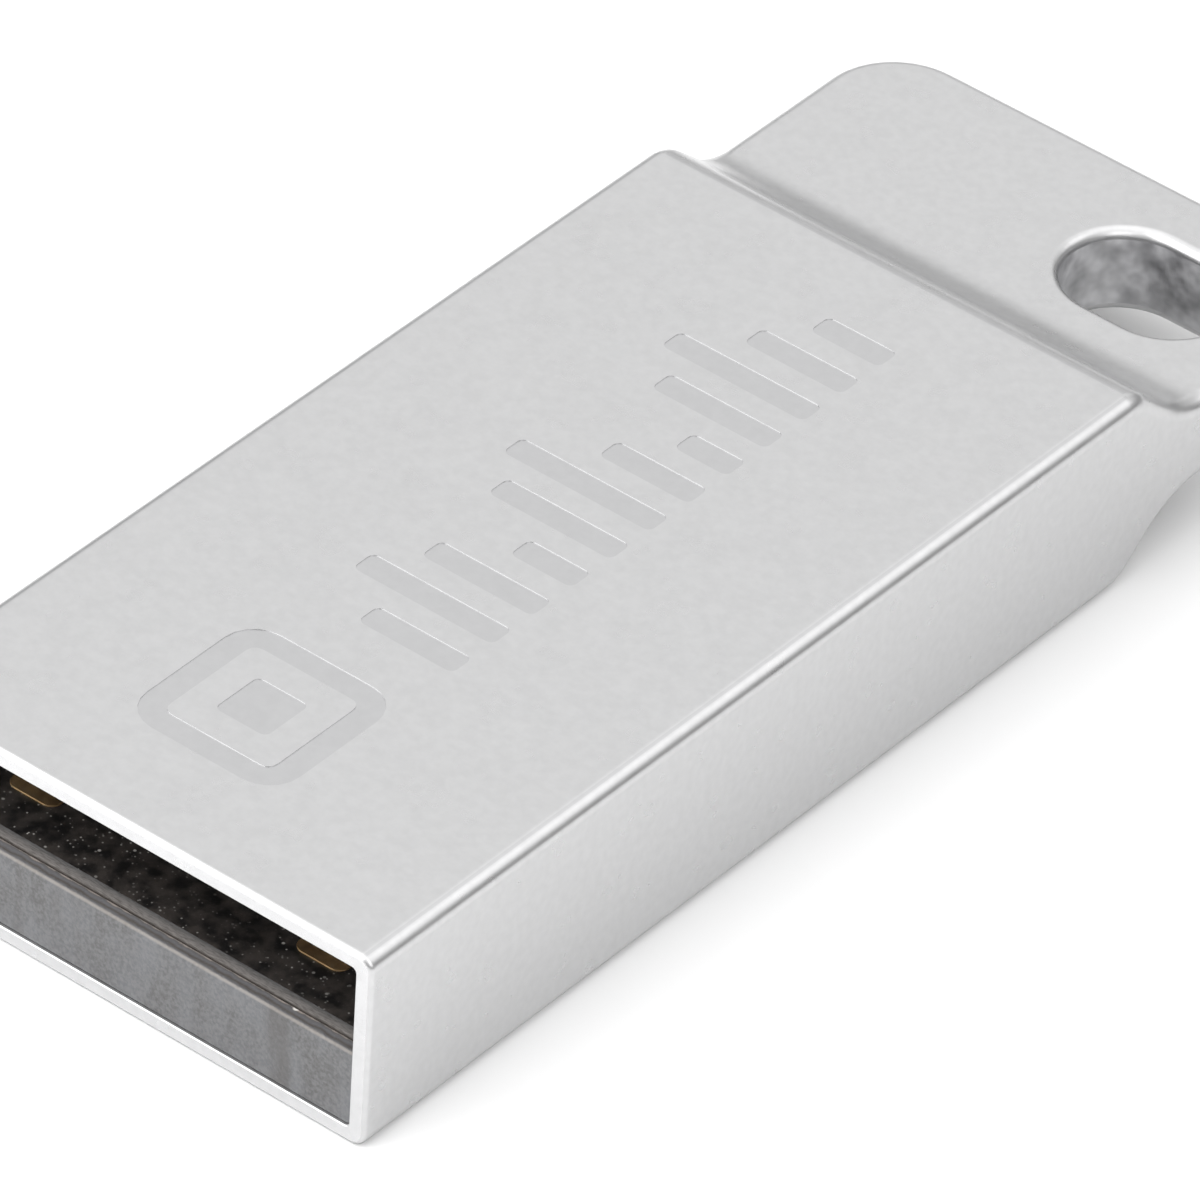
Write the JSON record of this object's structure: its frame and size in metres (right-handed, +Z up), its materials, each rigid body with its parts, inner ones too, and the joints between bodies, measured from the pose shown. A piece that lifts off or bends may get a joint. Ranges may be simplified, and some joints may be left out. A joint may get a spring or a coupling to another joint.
{
  "type": "usb flash drive",
  "caption": "Capless metal USB-A flash drive: flat one-piece case that is also the plug shell, memory module with gold contacts inside, thin rear tab with a key-ring slot.",
  "frame": {"origin": "middle of the underside, half way along the length", "axes": "+Z up, the contact side; +Y from the plug mouth to the key-ring tab; +X to the right looking along +Y"},
  "size_m": [0.012, 0.0302, 0.0045],
  "materials": {
    "case_metal": "fine bead-blasted satin silver",
    "carrier_plastic": "grey moulded plastic",
    "block_plastic": "black moulded plastic",
    "adhesive": "off-white bonding tape",
    "solder_mask": "black solder mask on laminate",
    "mould_compound": "black epoxy moulding compound",
    "contact_gold": "gold plating",
    "silicon": "polished silicon",
    "attach_film": "die-attach film",
    "capacitor_ceramic": "tan ceramic with tinned ends",
    "resistor_glaze": "black glaze with tinned ends",
    "wire_gold": "fine gold wire"
  },
  "bodies": {
    "root": {"case": "case_metal", "module_carrier": "carrier_plastic", "retaining_block": "block_plastic", "adhesive_pad_front": "adhesive", "adhesive_pad_rear": "adhesive", "adhesive_pad_top": "adhesive", "module_substrate": "solder_mask", "module_moulding": "mould_compound", "contact_data_minus": "contact_gold", "contact_data_plus": "contact_gold", "contact_ground": "contact_gold", "contact_power": "contact_gold", "flash_die_a": "silicon", "flash_die_b": "silicon", "controller_die": "silicon", "attach_film_controller": "attach_film", "attach_film_flash_a": "attach_film", "attach_film_flash_b": "attach_film", "capacitor_1": "capacitor_ceramic", "capacitor_2": "capacitor_ceramic", "capacitor_3": "capacitor_ceramic", "capacitor_4": "capacitor_ceramic", "resistor_1": "resistor_glaze", "resistor_2": "resistor_glaze", "resistor_3": "resistor_glaze", "bond_wire_controller_1": "wire_gold", "bond_wire_controller_2": "wire_gold", "bond_wire_controller_3": "wire_gold", "bond_wire_controller_4": "wire_gold", "bond_wire_controller_5": "wire_gold", "bond_wire_controller_6": "wire_gold", "bond_wire_controller_7": "wire_gold", "bond_wire_controller_8": "wire_gold", "bond_wire_controller_9": "wire_gold", "bond_wire_controller_10": "wire_gold", "bond_wire_controller_11": "wire_gold", "bond_wire_controller_12": "wire_gold", "bond_wire_flash_a_1": "wire_gold", "bond_wire_flash_a_2": "wire_gold", "bond_wire_flash_a_3": "wire_gold", "bond_wire_flash_a_4": "wire_gold", "bond_wire_flash_a_5": "wire_gold", "bond_wire_flash_a_6": "wire_gold", "bond_wire_flash_b_1": "wire_gold", "bond_wire_flash_b_2": "wire_gold", "bond_wire_flash_b_3": "wire_gold", "bond_wire_flash_b_4": "wire_gold", "bond_wire_flash_b_5": "wire_gold", "bond_wire_flash_b_6": "wire_gold"}
  },
  "joints": []
}
